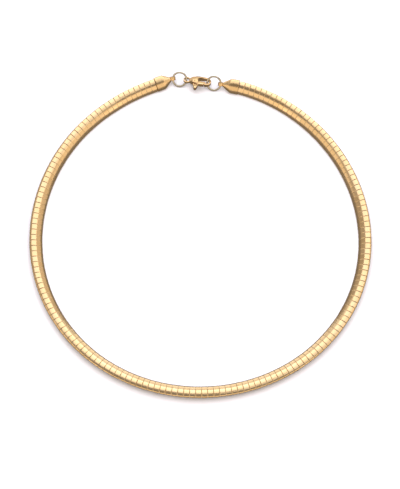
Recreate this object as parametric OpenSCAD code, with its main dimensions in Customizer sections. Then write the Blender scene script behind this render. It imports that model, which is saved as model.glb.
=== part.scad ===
// Single-strand omega necklace, closed and lying on a flat surface, in millimetres.
// +Z is up, +Y runs to the clasp at the back, and the origin is under the middle of the bounding box.
// A closed loop of domed plates is crimped round a flat core. The band leans like a dish: its outer
// edge stands higher than its inner edge, which rests on the surface all the way round.

/* [Loop seen from above] */
// Mean radius of the band's centre line
loop_radius = 71.6; // [60:0.1:90]
// Second harmonic: how much deeper than wide the loop is
loop_oval = 0.57; // [0:0.01:1.5]
// Second harmonic turned by 45 degrees: a slight skew
loop_skew = 0.25; // [0:0.01:0.6]
// Third harmonic: pulls the loop to a soft point at the clasp
loop_pear = 0.51; // [0:0.01:1.2]
// Third harmonic turned by 30 degrees: makes the right side fuller
loop_side = 0.21; // [0:0.01:0.6]
// How far the left end springs out of the round
end_lift = 1.25; // [0:0.05:2]
// Degrees of the loop over which the left end springs out
lift_span = 26; // [15:1:40]
// Angle at which the band ends on the right of the clasp
right_end = 76.1; // [74:0.1:78]
// Angle at which the band ends on the left of the clasp
left_end = 105.4; // [103:0.1:107]

/* [Band] */
// Number of plates
plate_count = 166; // [150:1:170]
// Free gap between two plates at the middle of the band
plate_gap = 0.22; // [0.2:0.01:0.3]
// Width of a plate across the band
plate_w = 6; // [5.8:0.1:6.6]
// Height of the dome's crown above the middle of the section
plate_crown = 1.2; // [1:0.05:1.4]
// Radius of the dome across the band
dome_r = 4.2; // [4:0.1:5]
// Radius of the rolled sides
side_r = 0.6; // [0.5:0.05:0.7]
// Height of the centre of the rolled sides
side_v = -0.3; // [-0.4:0.05:-0.2]
// Sheet thickness of a plate
plate_wall = 0.4; // [0.3:0.02:0.42]
// Width of the open slot between the two back flanges
back_slot = 3.2; // [2.4:0.1:3.6]
// Free gap between the core and the plates around it
core_gap = 0.14; // [0.1:0.01:0.2]
// Lean of the band at the sides of the loop
lean_mean = 28; // [15:1:32]
// How much the lean grows towards the back and falls towards the front
lean_swing = 4; // [0:0.5:8]

/* [End caps] */
// Length from the last plate to the middle of the rolled loop
cap_len = 8.2; // [7.6:0.1:9]
// How much the cap's profile stands out of the plates
cap_rim = 0.25; // [0.2:0.05:0.35]
// Length of the full-width part of a cap
cap_full = 3.8; // [3.4:0.1:4.4]
// Width of a cap's tip
cap_tip_w = 1.9; // [1.7:0.1:2]
// Outer radius of the rolled loop at the tip
barrel_r = 1.2; // [1.16:0.02:1.24]
// Radius of the hole in the rolled loop
barrel_hole_r = 0.8; // [0.78:0.01:0.84]
// Width of the rolled loop across the band
barrel_w = 1.6; // [1.4:0.1:1.6]
// Outward turn of the left cap from the band's direction
left_cap_turn = 3.3; // [2:0.1:4]
// Inward turn of the right cap from the band's direction
right_cap_turn = 4; // [2:0.1:4]

/* [Jump rings] */
// Mean radius of a ring
ring_r = 3.07; // [3:0.01:3.12]
// Radius of a ring's wire
wire_r = 0.43; // [0.38:0.01:0.43]
// Lean of the rings' planes
ring_lean = 38; // [36:1:40]

/* [Lobster clasp] */
// Tilt of the clasp about its length, lever side up
clasp_tilt = 14; // [13:1:18]
// Outer radius of the eyelet
eyelet_r = 1.55; // [1.5:0.05:1.65]
// Radius of the hole in the eyelet
eyelet_hole_r = 1.1; // [1.1:0.01:1.15]
// Thickness of the eyelet
eyelet_t = 1; // [0.8:0.1:1]
// Thickness of the claw at its thickest
claw_t = 2.6; // [2.5:0.05:2.8]
// Radius of the dome across the claw's faces
claw_dome_r = 4.6; // [4.4:0.1:5.4]
// Outer radius of the claw where it is broadest
broad_r = 2.5; // [2.4:0.05:2.6]
// Outer radius of the nose
nose_r = 2.05; // [2:0.05:2.15]
// Thickness of the nose
nose_t = 1.6; // [1.4:0.1:1.6]
// Half width of the space inside the claw
claw_space_r = 1.35; // [1.34:0.01:1.38]
// Thickness of the lever between the two cheeks
lever_t = 1; // [0.8:0.1:1]
// Thickness of the lever's gate
gate_t = 1.6; // [1.2:0.1:1.6]
// Thickness of the lever's thumb pad
pad_t = 1.8; // [1.4:0.1:2]
// Width of the slot between the cheeks
slot_t = 1.2; // [1.1:0.05:1.3]
// Radius of the pivot pin
pin_r = 0.3; // [0.25:0.01:0.32]
// Radial clearance of the pin in the cheeks
pin_seat_gap = 0.02; // [0.02:0.01:0.05]
// Radial running clearance of the lever on the pin
pin_run_gap = 0.05; // [0.03:0.01:0.08]

/* [Hidden] */
$fn = 48;
gold = "goldenrod";
pale_gold = "palegoldenrod";
eps = 0.01;
big = 20;

// The loop is walked clockwise from its right end, by t degrees
sweep = 360 + right_end - left_end;
function near_left(t) = max(0, 1 - (sweep - t) / lift_span);
function loop_r(t) =
    let (a = right_end - t)
    loop_radius
    - loop_oval * cos(2 * a) - loop_skew * sin(2 * a)
    + loop_side * cos(3 * a) - loop_pear * sin(3 * a)
    + end_lift * pow(near_left(t), 2);
function raw_point(t) =
    let (a = right_end - t)
    loop_r(t) * [cos(a), sin(a)];
function yaw(t) =
    let (d = raw_point(t + 0.05) - raw_point(t - 0.05))
    atan2(d.y, d.x);
function lean(t) = lean_mean + lean_swing * sin(right_end - t);

// Rolled side: centre of its arc across the band
side_u = plate_w / 2 - side_r;
// Height of a leaning section's middle at which its lower side just touches the surface
function rest_height(angle) = side_u * sin(angle) - side_v * cos(angle) + side_r;
function rest_z(t) = rest_height(lean(t));

// Length along the loop against t, and its inverse
function step_len(t) = norm(raw_point(t + 1) - raw_point(t));
walk = [for (t = 0, s = 0; t <= sweep + 1; s = s + step_len(t), t = t + 1) [s, t]];
walk_back = [for (row = walk) [row[1], row[0]]];
band_len = lookup(sweep, walk_back);
pitch = band_len / plate_count;
plate_len = pitch - plate_gap;
function t_at(s) = lookup(s, walk);

// Ends of the band and the middles of the rolled loops
function ahead(angle) = [cos(angle), sin(angle)];
left_yaw = yaw(sweep) + left_cap_turn;
right_yaw = yaw(0) + right_cap_turn;
left_barrel_raw = raw_point(sweep) + cap_len * ahead(left_yaw);
right_barrel_raw = raw_point(0) - cap_len * ahead(right_yaw);
span = right_barrel_raw - left_barrel_raw;
close_yaw = atan2(span.y, span.x);
close_dir = ahead(close_yaw);
left_ring_raw = left_barrel_raw + ring_r * close_dir;
right_ring_raw = right_barrel_raw - ring_r * close_dir;

// The middle of the bounding box, which the origin lies under
function outer_edge(t) =
    raw_point(t) + (side_u * cos(lean(t)) - side_v * sin(lean(t)) + side_r) * ahead(yaw(t) + 90);
edge = [for (t = [0 : 2 : sweep]) outer_edge(t)];
edge_x = [for (p = edge) p.x];
edge_y = [for (p = edge) p.y];
back_y = left_ring_raw.y + ring_r * cos(ring_lean) + wire_r;
middle = [(max(edge_x) + min(edge_x)) / 2, (back_y + min(edge_y)) / 2];
function point(t) = raw_point(t) - middle;
left_barrel = left_barrel_raw - middle;
right_barrel = right_barrel_raw - middle;
left_ring = left_ring_raw - middle;
right_ring = right_ring_raw - middle;

// Height of the closure's middle line: the rings just clear the surface
floor_gap = 0.05;
close_z = ring_r * sin(ring_lean) + wire_r + floor_gap;

// Clasp lengths, from the middle of the eyelet's hole along the clasp
eyelet_slack = 0.25;
nose_slack = 0.3;
eyelet = left_ring + (ring_r + eyelet_slack) * close_dir;
held_wire = norm(right_ring - left_ring) - 2 * ring_r - eyelet_slack;
neck = [1.2, 0];
neck_r = 0.8;
broad = [5.3, 0.2];
nose = [held_wire - nose_slack, 0];
nose_end = nose.x + nose_r;
gate_start = 5.05;
hook_end = nose.x - 0.9;
pivot = [3.6, -0.9];

// Puts a child at t degrees along the loop: X along the band, Y outward, Z out of the face
module on_loop(t) {
    translate([point(t).x, point(t).y, rest_z(t)])
        rotate([lean(t), 0, yaw(t)])
            children();
}

// Stands a section, drawn as across and up, along X from 0 to len
module along(len) {
    rotate([90, 0, 90])
        linear_extrude(height = len)
            children();
}

// Full outline of a plate's section: a dome over two rolled sides and a flat back
module section(grow = 0) {
    intersection() {
        translate([0, plate_crown - dome_r])
            circle(r = dome_r + grow, $fn = 96);
        translate([-plate_w / 2 - grow, side_v])
            square([plate_w + 2 * grow, big]);
    }
    for (side = [-1, 1])
        translate([side * side_u, side_v])
            circle(r = side_r + grow);
    translate([-side_u, side_v - side_r - grow])
        square([2 * side_u, side_r + grow + eps]);
}

module plate() {
    translate([-plate_len / 2, 0, 0])
        along(plate_len)
            difference() {
                section();
                section(-plate_wall);
                translate([-back_slot / 2, -big])
                    square([back_slot, big + side_v]);
            }
}

module plates() {
    color(gold)
        for (i = [0 : plate_count - 1])
            on_loop(t_at((i + 0.5) * pitch))
                plate();
}

// Outline of the core in a section, clear of the plates inside
core_half = side_u - 0.3;
core_bottom = side_v - side_r + plate_wall + core_gap;
function core_top(u) = plate_crown - dome_r + sqrt(pow(dome_r - plate_wall - core_gap, 2) - u * u);
core_outline = concat(
    [[-core_half, core_bottom], [core_half, core_bottom]],
    [for (share = [1, 0.6, 0, -0.6, -1]) [share * core_half, core_top(share * core_half)]]);

// A point of the core's skin: k counts the outline's corners
function core_point(t, shift, k) =
    let (u = core_outline[k][0], v = core_outline[k][1], b = lean(t), y = yaw(t))
    let (out = u * cos(b) - v * sin(b), up = u * sin(b) + v * cos(b))
    let (p = point(t) + out * ahead(y + 90) + shift * ahead(y))
    [p.x, p.y, rest_z(t) + up];

// The core runs on into both caps by core_tail
core_tail = 2.2;
module core() {
    corners = len(core_outline);
    stops = plate_count;
    rings = concat(
        [[0, -core_tail]],
        [for (i = [0 : stops]) [t_at(i * pitch), 0]],
        [[sweep, core_tail]]);
    points = [for (ring = rings) for (k = [0 : corners - 1]) core_point(ring[0], ring[1], k)];
    last = len(rings) - 1;
    sides = [for (i = [0 : last - 1]) for (k = [0 : corners - 1])
        let (a = i * corners + k, b = i * corners + (k + 1) % corners)
        [a, b, b + corners, a + corners]];
    first_end = [for (k = [0 : corners - 1]) corners - 1 - k];
    last_end = [for (k = [0 : corners - 1]) last * corners + k];
    color(pale_gold)
        polyhedron(points = points, faces = concat([first_end], sides, [last_end]), convexity = 10);
}

// The caps stand a little higher than the plates, so that their rim rests too
cap_start = 0.35;
cap_taper_end = cap_len - barrel_r + 0.2;
cap_lean = (lean(0) + lean(sweep)) / 2;
cap_z = rest_height(cap_lean) + cap_rim;

// Shell of an end cap along +X, from the last plate to its tip, with a pocket for the core's end
module cap_shell() {
    half_w = plate_w / 2 + cap_rim;
    top = plate_crown + cap_rim;
    bottom = side_v - side_r - cap_rim;
    tip_v = (close_z - cap_z) / cos(cap_lean);
    difference() {
        intersection() {
            along(cap_len)
                section(cap_rim);
            translate([0, 0, -big / 2])
                linear_extrude(height = big)
                    polygon([[cap_start, -half_w], [cap_full, -half_w],
                             [cap_taper_end, -cap_tip_w / 2], [cap_taper_end, cap_tip_w / 2],
                             [cap_full, half_w], [cap_start, half_w]]);
            rotate([90, 0, 0])
                translate([0, 0, -big / 2])
                    linear_extrude(height = big)
                        polygon([[cap_start, bottom], [cap_full + 0.6, bottom],
                                 [cap_taper_end, tip_v - 0.75], [cap_taper_end, tip_v + 0.75],
                                 [cap_full - 0.3, top], [cap_start, top]]);
        }
        along(core_tail + 0.4)
            translate([0, -0.2])
                section(-0.3);
    }
}

// Round bar in the rolled loop's place. The loop is bent part of the way from the cap to the ring.
barrel_turn = 0.6;
module in_barrel(barrel, cap_yaw, r, w) {
    translate([barrel.x, barrel.y, close_z])
        rotate([cap_lean + barrel_turn * (ring_lean - cap_lean), 0, cap_yaw + barrel_turn * (close_yaw - cap_yaw)])
            rotate([90, 0, 0])
                cylinder(r = r, h = w, center = true);
}

module cap_left() {
    color(gold)
        difference() {
            union() {
                translate([point(sweep).x, point(sweep).y, cap_z])
                    rotate([cap_lean, 0, left_yaw])
                        cap_shell();
                in_barrel(left_barrel, left_yaw, barrel_r, barrel_w);
            }
            in_barrel(left_barrel, left_yaw, barrel_hole_r, barrel_w + 0.4);
        }
}

module cap_right() {
    color(gold)
        difference() {
            union() {
                translate([point(0).x, point(0).y, cap_z])
                    rotate([cap_lean, 0, right_yaw])
                        mirror([1, 0, 0])
                            cap_shell();
                in_barrel(right_barrel, right_yaw, barrel_r, barrel_w);
            }
            in_barrel(right_barrel, right_yaw, barrel_hole_r, barrel_w + 0.4);
        }
}

module ring(place) {
    translate([place.x, place.y, close_z])
        rotate([ring_lean, 0, close_yaw])
            rotate_extrude($fn = 96)
                translate([ring_r, 0])
                    circle(r = wire_r, $fn = 32);
}

module ring_left() {
    color(gold)
        ring(left_ring);
}

module ring_right() {
    color(gold)
        ring(right_ring);
}

// Puts a child in the clasp's own frame: X to the nose, Y to the spine, Z out of its flat side
module in_clasp() {
    translate([eyelet.x, eyelet.y, close_z])
        rotate([-clasp_tilt, 0, close_yaw])
            children();
}

// A slab of thickness t, centred on the clasp's middle plane
module slab(t) {
    translate([0, 0, -t / 2])
        linear_extrude(height = t)
            children();
}

// Points of an arc, and the angle at which a straight side meets the rounds at both of its ends
function arc(middle, r, from, to, steps) =
    [for (i = [0 : steps]) middle + r * ahead(from + (to - from) * i / steps)];
function side_angle(a, a_r, b, b_r, side) =
    atan2(b.y - a.y, b.x - a.x) + side * acos((a_r - b_r) / norm(b - a));

// Outline of the claw: straight sides between the rounds of neck, broadest place and nose
spine_back = side_angle(neck, neck_r, broad, broad_r, 1);
spine_front = side_angle(broad, broad_r, nose, nose_r, 1);
lever_back = side_angle(neck, neck_r, broad, broad_r, -1) + 360;
lever_front = side_angle(broad, broad_r, nose, nose_r, -1);
claw_outline = concat(
    arc(nose, nose_r, lever_front, spine_front, 20),
    arc(broad, broad_r, spine_front, spine_back, 5),
    arc(neck, neck_r, spine_back, lever_back, 6),
    arc(broad, broad_r, lever_back, lever_front + 360, 5));

// The claw seen across its length: two flat domes, one for each face
module claw_section() {
    intersection_for (face = [-1, 1])
        translate([0, face * (claw_dome_r - claw_t / 2)])
            circle(r = claw_dome_r, $fn = 96);
}

// The claw seen from its lever side: thin at the eyelet, thick at the lever, thinner at the nose
module claw_side() {
    half = claw_t / 2;
    half_nose = nose_t / 2;
    upper = [[0.9, eyelet_t / 2], [pivot.x - 0.5, half], [broad.x, half],
             [nose.x - 0.6, half_nose], [nose_end, half_nose - 0.15]];
    lower = [for (i = [len(upper) - 1 : -1 : 0]) [upper[i].x, -upper[i].y]];
    rotate([90, 0, 0])
        translate([0, 0, -big / 2])
            linear_extrude(height = big)
                polygon(concat(upper, lower));
}

// Space that holds the ring, and the gap that the gate closes
module claw_space() {
    space_start = gate_start + 1.15;
    for (a = [space_start, nose.x])
        translate([a, 0])
            circle(r = claw_space_r, $fn = 64);
    translate([space_start, -claw_space_r])
        square([nose.x - space_start, 2 * claw_space_r]);
    translate([gate_start, -big])
        square([hook_end - gate_start, big - 0.6]);
}

// Room for the lever between the cheeks, over its whole swing
module lever_room() {
    translate(pivot) {
        circle(r = hub_r + 0.15);
        polygon([[-0.95, -big], [-0.95, 0.3], [-0.4, 0.9], [2.1, 1.62], [2.1, -big]]);
    }
}

module clasp_body() {
    color(gold)
        in_clasp()
            difference() {
                union() {
                    slab(eyelet_t)
                        circle(r = eyelet_r, $fn = 64);
                    intersection() {
                        slab(big)
                            polygon(claw_outline);
                        along(big)
                            claw_section();
                        claw_side();
                    }
                }
                cylinder(r = eyelet_hole_r, h = big, center = true);
                slab(big)
                    claw_space();
                slab(slot_t)
                    lever_room();
                translate(pivot)
                    cylinder(r = pin_r + pin_seat_gap, h = big, center = true);
            }
}

// The lever, drawn from its pivot. Its gate ends in a tongue behind the hook's end.
hub_r = 0.75;
gate_from = gate_start + 0.2 - pivot.x;
gate_to = hook_end - 0.25 - pivot.x;
gate_low = -1.2;
gate_high = 0.56;
tongue_end = gate_to + 0.7;
tongue_high = 0.28;
tongue_low = -0.38;
pad_top = -2.05;
tab_tip = [0.5, -3.2];
tab_tip_r = 0.55;
tab_outline = concat([[hub_r - 0.05, 0], [0.05 - hub_r, 0], [-0.65, -1.5]],
                     arc(tab_tip, tab_tip_r, 195, 345, 8),
                     [[1.65, -1.5], [1.6, -1.15]]);
module lever() {
    difference() {
        union() {
            slab(lever_t) {
                circle(r = hub_r);
                polygon([[0, 0.7], [gate_from + 0.2, gate_high], [gate_from + 0.2, gate_low], [0, -hub_r]]);
                polygon(tab_outline);
            }
            slab(gate_t)
                polygon([[gate_from, gate_high], [tongue_end, tongue_high], [tongue_end, tongue_low],
                         [gate_to, tongue_low], [gate_to, gate_low], [gate_from, gate_low]]);
            // Thumb pad, below the cheeks
            slab(pad_t)
                intersection() {
                    polygon(tab_outline);
                    translate([-big / 2, pad_top - big])
                        square([big, big]);
                }
        }
        cylinder(r = pin_r + pin_run_gap, h = big, center = true);
    }
}

module clasp_lever() {
    color(pale_gold)
        in_clasp()
            translate(pivot)
                lever();
}

module clasp_pin() {
    color(gold)
        in_clasp()
            translate(pivot)
                cylinder(r = pin_r, h = claw_t - 0.4, center = true);
}

core();
plates();
cap_left();
cap_right();
ring_left();
ring_right();
clasp_body();
clasp_lever();
clasp_pin();
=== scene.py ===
# %% [markdown]
# # A gold-tone omega necklace
#
# The real object is a flat collar: a row of domed metal plates, each one crimped round a woven core, with
# a cap at both ends, two jump rings and a lobster clasp. It lies closed on a pale surface, and the band
# leans like the rim of a dish. This lesson builds the visible pieces round the solid frame of the same
# necklace. The frame is loaded first, and its box is kept, so that the finished pieces can be measured
# against it.

# %% Load the frame
import math
import random

import bmesh
import bpy
from mathutils import Matrix, Vector


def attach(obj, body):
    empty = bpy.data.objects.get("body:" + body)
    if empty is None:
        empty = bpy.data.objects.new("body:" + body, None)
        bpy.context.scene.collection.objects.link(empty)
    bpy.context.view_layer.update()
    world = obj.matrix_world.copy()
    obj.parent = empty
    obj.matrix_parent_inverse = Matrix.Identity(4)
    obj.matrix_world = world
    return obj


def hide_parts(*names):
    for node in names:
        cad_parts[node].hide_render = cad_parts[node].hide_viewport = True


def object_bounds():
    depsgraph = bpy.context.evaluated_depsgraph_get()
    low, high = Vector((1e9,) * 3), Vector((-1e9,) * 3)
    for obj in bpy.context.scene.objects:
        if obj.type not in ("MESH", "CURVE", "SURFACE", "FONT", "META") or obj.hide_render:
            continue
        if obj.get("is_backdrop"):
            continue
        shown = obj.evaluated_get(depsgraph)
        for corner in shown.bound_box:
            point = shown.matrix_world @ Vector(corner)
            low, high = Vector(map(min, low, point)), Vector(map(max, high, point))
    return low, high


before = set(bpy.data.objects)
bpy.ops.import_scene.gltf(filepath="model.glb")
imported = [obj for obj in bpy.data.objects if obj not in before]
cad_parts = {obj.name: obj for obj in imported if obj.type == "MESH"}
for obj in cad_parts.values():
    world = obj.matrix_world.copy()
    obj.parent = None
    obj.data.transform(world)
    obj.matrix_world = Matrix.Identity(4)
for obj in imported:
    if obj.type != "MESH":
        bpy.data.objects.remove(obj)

cad_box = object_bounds()
MM = 0.001
print("frame nodes:", sorted(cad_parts))

# %% [markdown]
# ## The loop that the band follows
#
# A worn omega necklace isn't a true circle: it is a little deeper than wide, and drawn to a soft point at
# the clasp. It could be drawn by hand as a curve, but then every plate would be set by eye. A circle's
# radius with two gentle waves on it gives the same outline as a formula, in the frame's own millimetres.
# A place on the loop is given as t, the degrees walked from its right end.

# %% Draw the loop
LOOP_RADIUS = 71.6
LOOP_OVAL = 0.57
LOOP_SKEW = 0.25
LOOP_PEAR = 0.51
LOOP_SIDE = 0.21
END_LIFT = 1.25
LIFT_SPAN = 26
RIGHT_END = 76.1
LEFT_END = 105.4
SWEEP = 360 + RIGHT_END - LEFT_END


def sin(degrees):
    return math.sin(math.radians(degrees))


def cos(degrees):
    return math.cos(math.radians(degrees))


def ahead(degrees):
    """A step of one in a level direction."""
    return Vector((cos(degrees), sin(degrees), 0))


def raw_point(t):
    """Where the loop is, about its own centre. Its left end springs a little out of the round."""
    angle = RIGHT_END - t
    spring = max(0, 1 - (SWEEP - t) / LIFT_SPAN)
    radius = (LOOP_RADIUS - LOOP_OVAL * cos(2 * angle) - LOOP_SKEW * sin(2 * angle)
              + LOOP_SIDE * cos(3 * angle) - LOOP_PEAR * sin(3 * angle) + END_LIFT * spring ** 2)
    return radius * ahead(angle)


print("the loop sweeps", round(SWEEP, 1), "degrees from its right end to its left end")

# %% [markdown]
# Every plate gets the same share of the loop's real length. A curve's length could be asked of Blender,
# but a walk in steps of one degree does it too and shows how: the steps are added up, and a length is
# found again in the list of sums.

# %% Walk the loop by its length
PLATE_COUNT = 166
walk = [0.0]
for degree in range(int(SWEEP) + 1):
    walk.append(walk[-1] + (raw_point(degree + 1) - raw_point(degree)).length)


def t_at(length):
    """Degrees along the loop at a length from its right end."""
    degree = max(i for i in range(len(walk) - 1) if walk[i] <= length)
    return degree + (length - walk[degree]) / (walk[degree + 1] - walk[degree])


whole = int(SWEEP)
BAND_LEN = walk[whole] + (SWEEP - whole) * (walk[whole + 1] - walk[whole])
PITCH = BAND_LEN / PLATE_COUNT
print("band", round(BAND_LEN, 2), "mm, pitch", round(PITCH, 3), "mm")

# %% [markdown]
# The band doesn't lie flat. It leans like the rim of a dish, a little more at the back than at the front.
# So each place on it has a direction, a lean, and a height at which its lower side just rests on the
# surface. A plate could be lowered by eye until it touches, but its round side is what meets the surface,
# and the height follows from that.

# %% Find the band's direction, lean and height
YAW_STEP = 0.05
LEAN_MEAN = 28
LEAN_SWING = 4
PLATE_W = 6.0
SIDE_R = 0.6
SIDE_V = -0.3
SIDE_U = PLATE_W / 2 - SIDE_R


def yaw(t):
    """Direction in which the band runs at a place on the loop."""
    step = raw_point(t + YAW_STEP) - raw_point(t - YAW_STEP)
    return math.degrees(math.atan2(step.y, step.x))


def lean(t):
    """Degrees by which the outer edge is tipped up there."""
    return LEAN_MEAN + LEAN_SWING * sin(RIGHT_END - t)


def rest_height(angle):
    """Height of a leaning section's middle at which its lower side just touches the surface."""
    return SIDE_U * sin(angle) - SIDE_V * cos(angle) + SIDE_R


print("lean", round(lean(0), 1), "degrees at the back,", round(lean(SWEEP / 2), 1), "at the front")

# %% [markdown]
# ## Where the closure lies
#
# In a closed chain each link hangs in the one before it. The caps and rings could be dragged into place,
# but then nothing would keep them linked. So their places are worked out from the two ends of the band: a
# cap's length from each end to the loop at its tip, then a ring's radius towards the clasp.

# %% Place the caps and rings
CAP_LEN = 8.2
LEFT_CAP_TURN = 3.3
RIGHT_CAP_TURN = 4
RING_R = 3.07
WIRE_R = 0.43
RING_LEAN = 38
FLOOR_GAP = 0.05

left_yaw = yaw(SWEEP) + LEFT_CAP_TURN
right_yaw = yaw(0) + RIGHT_CAP_TURN
left_barrel = raw_point(SWEEP) + CAP_LEN * ahead(left_yaw)
right_barrel = raw_point(0) - CAP_LEN * ahead(right_yaw)
gap = right_barrel - left_barrel
close_yaw = math.degrees(math.atan2(gap.y, gap.x))
close_z = RING_R * sin(RING_LEAN) + WIRE_R + FLOOR_GAP
left_ring = left_barrel + RING_R * ahead(close_yaw)
right_ring = right_barrel - RING_R * ahead(close_yaw)
print("gap between the caps", round(gap.length, 2), "mm, turned", round(close_yaw, 2), "degrees")

# %% [markdown]
# The frame keeps its origin under the middle of its box, and the loop's own centre lies elsewhere. So the
# same middle is worked out here, from the outer edge of the band and the back of the left ring. One
# matrix then carries any piece from its own millimetres to its place in the frame.

# %% Find the frame's middle
EDGE_STEP = 2


def outer_edge(t):
    """The outermost point of the band at a place on the loop."""
    out = SIDE_U * cos(lean(t)) - SIDE_V * sin(lean(t)) + SIDE_R
    return raw_point(t) + out * ahead(yaw(t) + 90)


rim = [outer_edge(t) for t in range(0, int(SWEEP) + 1, EDGE_STEP)]
back_y = left_ring.y + RING_R * cos(RING_LEAN) + WIRE_R
middle = Vector(((max(p.x for p in rim) + min(p.x for p in rim)) / 2,
                 (back_y + min(p.y for p in rim)) / 2, 0))


def in_frame(point, height, turn, across):
    """Matrix from a piece's own axes, in millimetres, to the frame: a turn about Z after a lean about X."""
    spot = point - middle
    return (Matrix.Scale(MM, 4) @ Matrix.Translation((spot.x, spot.y, height))
            @ Matrix.Rotation(math.radians(turn), 4, "Z") @ Matrix.Rotation(math.radians(across), 4, "X"))


print("middle of the box", [round(v, 3) for v in middle], "mm from the loop's centre")

# %% [markdown]
# ## One plate
#
# Each plate is a small strip of sheet metal: domed across, rolled round both sides and folded under,
# where it grips the core. It could be a cube that is bevelled and hollowed, but real sheet is bent, and
# the spin tool bends: it draws an edge round an arc. So the plate starts as a flat plane. Operators act
# on whatever is selected, and the frame's nodes are selected after loading, so each piece starts from an
# empty selection.

# %% Start the plate
PLATE_SEAM = 0.1
PLATE_LEN = PITCH - PLATE_SEAM
PLATE_CROWN = 1.2
HALF = PLATE_LEN / 2


def clear():
    """Leaves edit mode and deselects everything."""
    if bpy.context.object and bpy.context.object.mode != "OBJECT":
        bpy.ops.object.mode_set(mode="OBJECT")
    bpy.ops.object.select_all(action="DESELECT")


def edit(piece):
    """Opens a piece for editing, with nothing picked."""
    clear()
    bpy.context.view_layer.objects.active = piece
    piece.select_set(True)
    bpy.ops.object.mode_set(mode="EDIT")
    bpy.ops.mesh.select_mode(type="VERT")
    bpy.ops.mesh.select_all(action="DESELECT")
    return piece


def apply_place():
    """Puts a new primitive's place and turn into its mesh."""
    bpy.ops.object.transform_apply(location=True, rotation=True, scale=True)


def start(name):
    """Names the primitive that was just added and opens it for editing."""
    piece = bpy.context.object
    piece.name = piece.data.name = name
    return edit(piece)


clear()
bpy.ops.mesh.primitive_plane_add(size=PLATE_LEN, location=(0, -HALF, PLATE_CROWN))
apply_place()
plate = start("plate")
print("the plate starts as a plane of", round(PLATE_LEN, 3), "mm")

# %% [markdown]
# Without a mouse, points, edges and faces are picked by their place. A list of point numbers would do it
# too, but it says nothing to a reader. A test on a position does, and it picks the same things each time.
# The first pick takes two corners away, so that only the edge on the crown of the dome is left.


# %% Keep one edge of it
def pick(kind, test):
    """Picks the points, edges or faces whose middle passes a test, and says how many there are."""
    bpy.ops.mesh.select_mode(type=kind)
    bpy.ops.mesh.select_all(action="DESELECT")
    mesh = bmesh.from_edit_mesh(bpy.context.object.data)
    things = {"VERT": mesh.verts, "EDGE": mesh.edges, "FACE": mesh.faces}[kind]
    chosen = 0
    for thing in things:
        if kind == "VERT":
            centre = thing.co
        elif kind == "EDGE":
            centre = (thing.verts[0].co + thing.verts[1].co) / 2
        else:
            centre = thing.calc_center_median()
        if test(centre):
            thing.select_set(True)
            chosen += 1
    mesh.select_flush_mode()
    bmesh.update_edit_mesh(bpy.context.object.data)
    return chosen


print("corners taken away:", pick("VERT", lambda p: p.y < -HALF))
bpy.ops.mesh.delete(type="VERT")
bpy.ops.mesh.select_all(action="SELECT")

# %% [markdown]
# The section of a plate is two arcs and a straight fold: over the dome, round the side, and in towards
# the slot at the back. The caps have the same section, so its arcs are a helper. Blender's own spin turns
# against the right-hand rule, which is easy to forget, so it is wrapped once.

# %% Roll the dome, the side and the fold
DOME_R = 4.2
BACK_SLOT = 3.2
PLATE_DOME_STEPS = 5
SIDE_STEPS = 8
ALONG = (1, 0, 0)
dome_half = math.degrees(math.asin(SIDE_U / (DOME_R - SIDE_R)))


def spin(degrees, steps, about, axis):
    """Spins what is picked by the right-hand rule, which is the other way round from the tool's own."""
    bpy.ops.mesh.spin(steps=steps, angle=math.radians(-degrees), center=about, axis=axis)


def extrude(x=0.0, y=0.0, z=0.0):
    """Extrudes what is picked and moves it."""
    bpy.ops.mesh.extrude_region_move(TRANSFORM_OT_translate={"value": (x, y, z)})


def roll_half(dome_steps):
    """Rolls what is picked from the crown over the dome and round the side, to the underside."""
    spin(-dome_half, dome_steps, (0, 0, PLATE_CROWN - DOME_R), ALONG)
    spin(dome_half - 180, SIDE_STEPS, (0, SIDE_U, SIDE_V), ALONG)


roll_half(PLATE_DOME_STEPS)
extrude(y=BACK_SLOT / 2 - SIDE_U)
print("half a plate, with", round(dome_half, 1), "degrees of dome")

# %% [markdown]
# A mirror makes the other half, so both are sure to be alike. The ends of a real plate turn down a
# little, so that the seams show as fine dark lines. A bevel would round them too, but with more faces on
# every plate of a long row. A cut near each end, and a small sink of the end points, are enough.

# %% Mirror it and draw its ends down
TOUCHING = 0.002
END_STRIP = 0.12
END_DROP = 0.05


def finish_with(piece, kind, **settings):
    """Adds a modifier, sets it and applies it."""
    clear()
    bpy.context.view_layer.objects.active = piece
    piece.select_set(True)
    modifier = piece.modifiers.new(kind.title(), kind)
    for key, value in settings.items():
        setattr(modifier, key, value)
    bpy.ops.object.modifier_apply(modifier=modifier.name)


def weld():
    """Joins points that coincide and turns all faces outwards."""
    bpy.ops.mesh.select_all(action="SELECT")
    bpy.ops.mesh.remove_doubles(threshold=TOUCHING)
    bpy.ops.mesh.normals_make_consistent(inside=False)


finish_with(plate, "MIRROR", use_axis=(False, True, False), merge_threshold=0.01)
edit(plate)
for cut in (-HALF + END_STRIP, HALF - END_STRIP):
    bpy.ops.mesh.select_all(action="SELECT")
    bpy.ops.mesh.bisect(plane_co=(cut, 0, 0), plane_no=ALONG)
weld()
print("end points drawn down:", pick("VERT", lambda p: abs(p.x) > HALF - END_STRIP / 2))
bpy.ops.transform.shrink_fatten(value=-END_DROP)

# %% [markdown]
# So far the plate is a skin without thickness. Its inner side could be drawn as well, but Solidify gives
# the sheet an even wall in one step, and inwards, so that the outside stays where it was drawn. A
# finished piece is reported: a closed solid has no open edge.

# %% Give the sheet its thickness
PLATE_WALL = 0.38


def open_edges(piece):
    """Counts the edges that don't join two faces, which a closed piece has none of."""
    mesh = bmesh.new()
    mesh.from_mesh(piece.data)
    count = sum(1 for edge in mesh.edges if len(edge.link_faces) != 2)
    mesh.free()
    return count


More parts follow.
